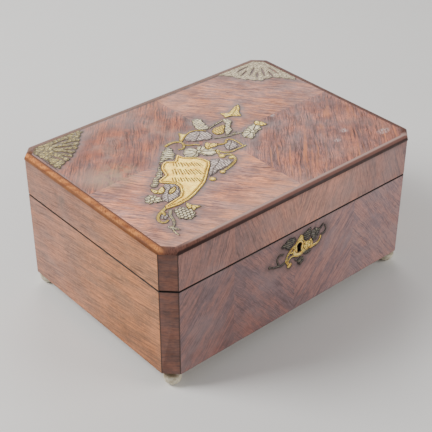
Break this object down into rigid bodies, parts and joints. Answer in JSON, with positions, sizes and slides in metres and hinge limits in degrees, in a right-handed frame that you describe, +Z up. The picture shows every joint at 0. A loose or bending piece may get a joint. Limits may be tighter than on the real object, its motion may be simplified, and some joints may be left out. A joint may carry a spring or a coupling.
{
  "type": "wooden jewelry box",
  "caption": "Veneered wooden jewelry box with cut-off corners, a hinged lid, metal ornament on lid and keyhole, and turned ball feet; hollow and empty.",
  "frame": {"origin": "centre of the footprint, on the surface the feet stand on", "axes": "+X to the right along the long front, +Y from the keyhole side to the hinge side, +Z up"},
  "size_m": [0.28, 0.2022, 0.1376],
  "materials": {
    "veneer": "satin",
    "edge_wood": "satin",
    "plain_wood": "matt",
    "bone": "satin",
    "brass": "satin",
    "grey_metal": "satin",
    "steel": "satin"
  },
  "bodies": {
    "box": {"case": "veneer", "case_bottom": "plain_wood", "foot_front_left": "bone", "foot_front_right": "bone", "foot_back_left": "bone", "foot_back_right": "bone", "lock": "brass", "hinge_left_lower": "steel", "hinge_right_lower": "steel", "escutcheon_plate": "brass", "escutcheon_leaf_left": "grey_metal", "escutcheon_leaf_hatched": "grey_metal", "escutcheon_leaf_right": "grey_metal", "escutcheon_curl_right": "grey_metal", "escutcheon_scroll_left": "grey_metal", "escutcheon_flower": "grey_metal", "escutcheon_leaf_lower": "grey_metal"},
    "cover": {"lid": "veneer", "lid_edge_moulding": "edge_wood", "strike_plate": "brass", "hinge_left_upper": "steel", "hinge_right_upper": "steel", "cartouche_shield": "brass", "leaf_star_brass": "brass", "leaf_patch_brass": "brass", "leaf_top_brass": "brass", "scroll_lower_brass": "brass", "leaf_flower_brass": "brass", "leaf_left_brass": "brass", "leaf_scoop_brass": "brass", "scroll_tail_brass": "brass", "leaf_grapes_brass": "brass", "leaf_tip_brass": "brass", "bead_brass": "brass", "scroll_beaded_grey": "grey_metal", "leaf_middle_grey": "grey_metal", "leaf_upper_grey": "grey_metal", "flower_middle_grey": "grey_metal", "scroll_right_grey": "grey_metal", "leaf_right_grey": "grey_metal", "flower_right_grey": "grey_metal", "leaf_lower_grey": "grey_metal", "leaf_left_grey": "grey_metal", "flower_left_grey": "grey_metal", "leaf_curl_grey": "grey_metal", "grapes_grey": "grey_metal", "tail_grey": "grey_metal", "corner_ornament_left": "grey_metal", "corner_ornament_right": "grey_metal"}
  },
  "joints": [
    {"name": "lid_hinge", "type": "hinge", "parent": "box", "child": "cover", "pos_m": [0, 0.09825, 0.0989], "axis": [-1, 0, 0], "range_deg": [0, 95]}
  ]
}
